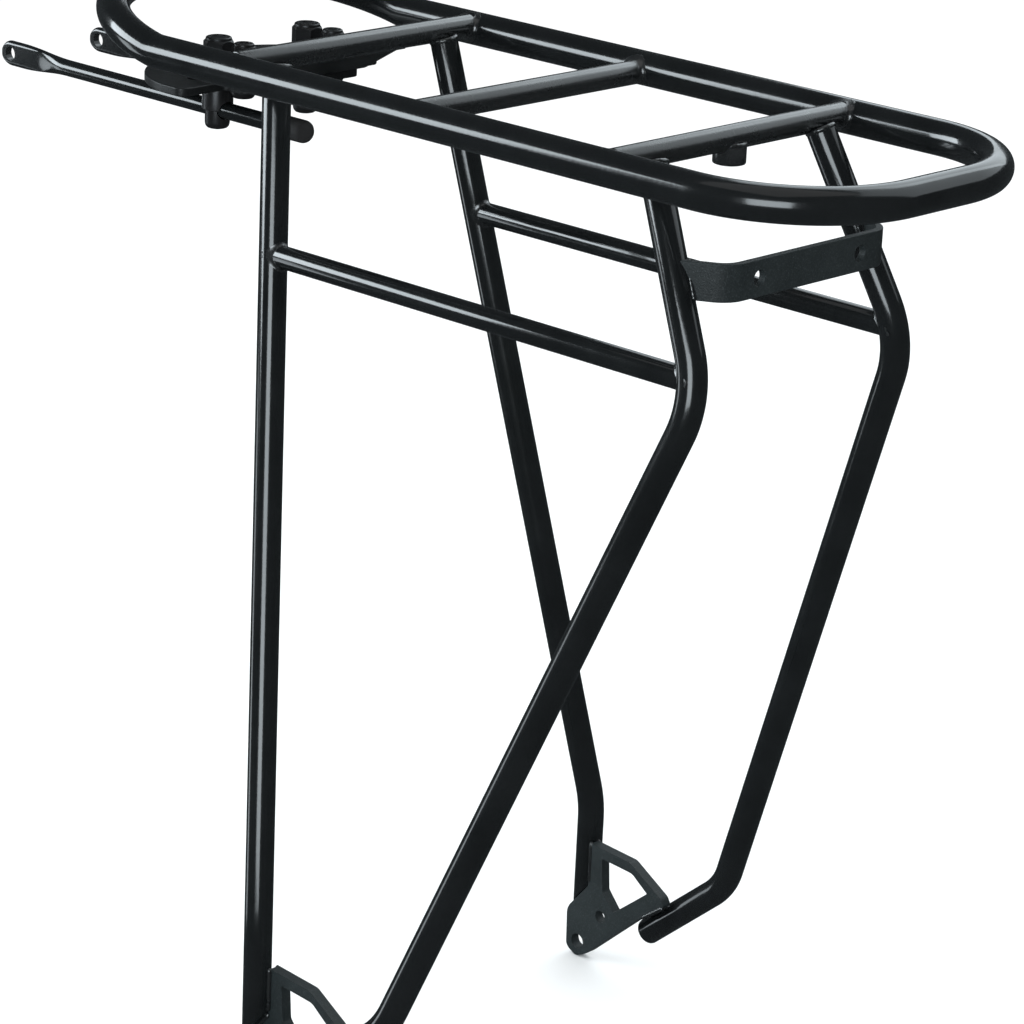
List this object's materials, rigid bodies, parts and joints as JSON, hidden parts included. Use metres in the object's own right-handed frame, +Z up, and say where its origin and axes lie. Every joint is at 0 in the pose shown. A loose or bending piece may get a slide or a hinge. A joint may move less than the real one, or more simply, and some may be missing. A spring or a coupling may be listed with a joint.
{
  "type": "rear rack (bicycle)",
  "caption": "Rear bicycle carrier: bent tube platform on welded legs with dropout plates, light bracket and adjustable sliding, swivelling front stays.",
  "frame": {"origin": "midway between the two lower dropout eyelets that bolt to the bicycle, on their common axis", "axes": "+X forward, from the lamp bracket towards the saddle; +Y to the rider's left; +Z up"},
  "size_m": [0.4271, 0.1866, 0.3721],
  "materials": {
    "powder_coat": "gloss black powder coat",
    "plate_coat": "satin black powder coat",
    "black_steel": "blackened steel fasteners",
    "cap_rubber": "matt black"
  },
  "bodies": {
    "frame": {"platform_hoop": "powder_coat", "cross_tube_front": "powder_coat", "cross_tube_middle": "powder_coat", "cross_tube_rear": "powder_coat", "mudguard_boss": "powder_coat", "front_leg_left": "powder_coat", "rear_leg_left": "powder_coat", "lower_rail_left": "powder_coat", "front_leg_right": "powder_coat", "rear_leg_right": "powder_coat", "lower_rail_right": "powder_coat", "light_bracket": "plate_coat", "plate_hanger": "plate_coat", "stay_plate": "plate_coat", "dropout_plate_left": "plate_coat", "dropout_plate_right": "plate_coat", "plate_bolt_left": "black_steel", "plate_nut_left": "black_steel", "plate_bolt_right": "black_steel", "plate_nut_right": "black_steel"},
    "slot_slider_left": {"stay_washer_left": "black_steel", "stay_cap_nut_left": "black_steel"},
    "stay_clamp_left": {"stay_eye_bolt_left": "black_steel", "stay_collar_left": "black_steel"},
    "stay_cap_left": {"stay_end_cap_left": "cap_rubber"},
    "stay_left": {"stay_rod_left": "powder_coat"},
    "slot_slider_right": {"stay_washer_right": "black_steel", "stay_cap_nut_right": "black_steel"},
    "stay_clamp_right": {"stay_eye_bolt_right": "black_steel", "stay_collar_right": "black_steel"},
    "stay_cap_right": {"stay_end_cap_right": "cap_rubber"},
    "stay_right": {"stay_rod_right": "powder_coat"}
  },
  "joints": [
    {"name": "slot_slide_left", "type": "slide", "parent": "frame", "child": "slot_slider_left", "axis": [0, 1, 0], "range_m": [-0.0035, 0.01]},
    {"name": "clamp_swivel_left", "type": "hinge", "parent": "slot_slider_left", "child": "stay_clamp_left", "pos_m": [0.1008, 0.0215, 0.3211], "axis": [0, 0, 1], "range_deg": [-2, 12]},
    {"name": "stay_slide_left", "type": "slide", "parent": "stay_clamp_left", "child": "stay_cap_left", "axis": [1, 0, 0], "range_m": [-0.015, 0.028]},
    {"name": "stay_twist_left", "type": "hinge", "parent": "stay_cap_left", "child": "stay_left", "pos_m": [0.1008, 0.0215, 0.3211], "axis": [1, 0, 0], "range_deg": [-90, 90]},
    {"name": "slot_slide_right", "type": "slide", "parent": "frame", "child": "slot_slider_right", "axis": [0, -1, 0], "range_m": [-0.0035, 0.01]},
    {"name": "clamp_swivel_right", "type": "hinge", "parent": "slot_slider_right", "child": "stay_clamp_right", "pos_m": [0.1008, -0.0215, 0.3211], "axis": [0, 0, -1], "range_deg": [-2, 12]},
    {"name": "stay_slide_right", "type": "slide", "parent": "stay_clamp_right", "child": "stay_cap_right", "axis": [1, 0, 0], "range_m": [-0.015, 0.028]},
    {"name": "stay_twist_right", "type": "hinge", "parent": "stay_cap_right", "child": "stay_right", "pos_m": [0.1008, -0.0215, 0.3211], "axis": [1, 0, 0], "range_deg": [-90, 90]}
  ]
}
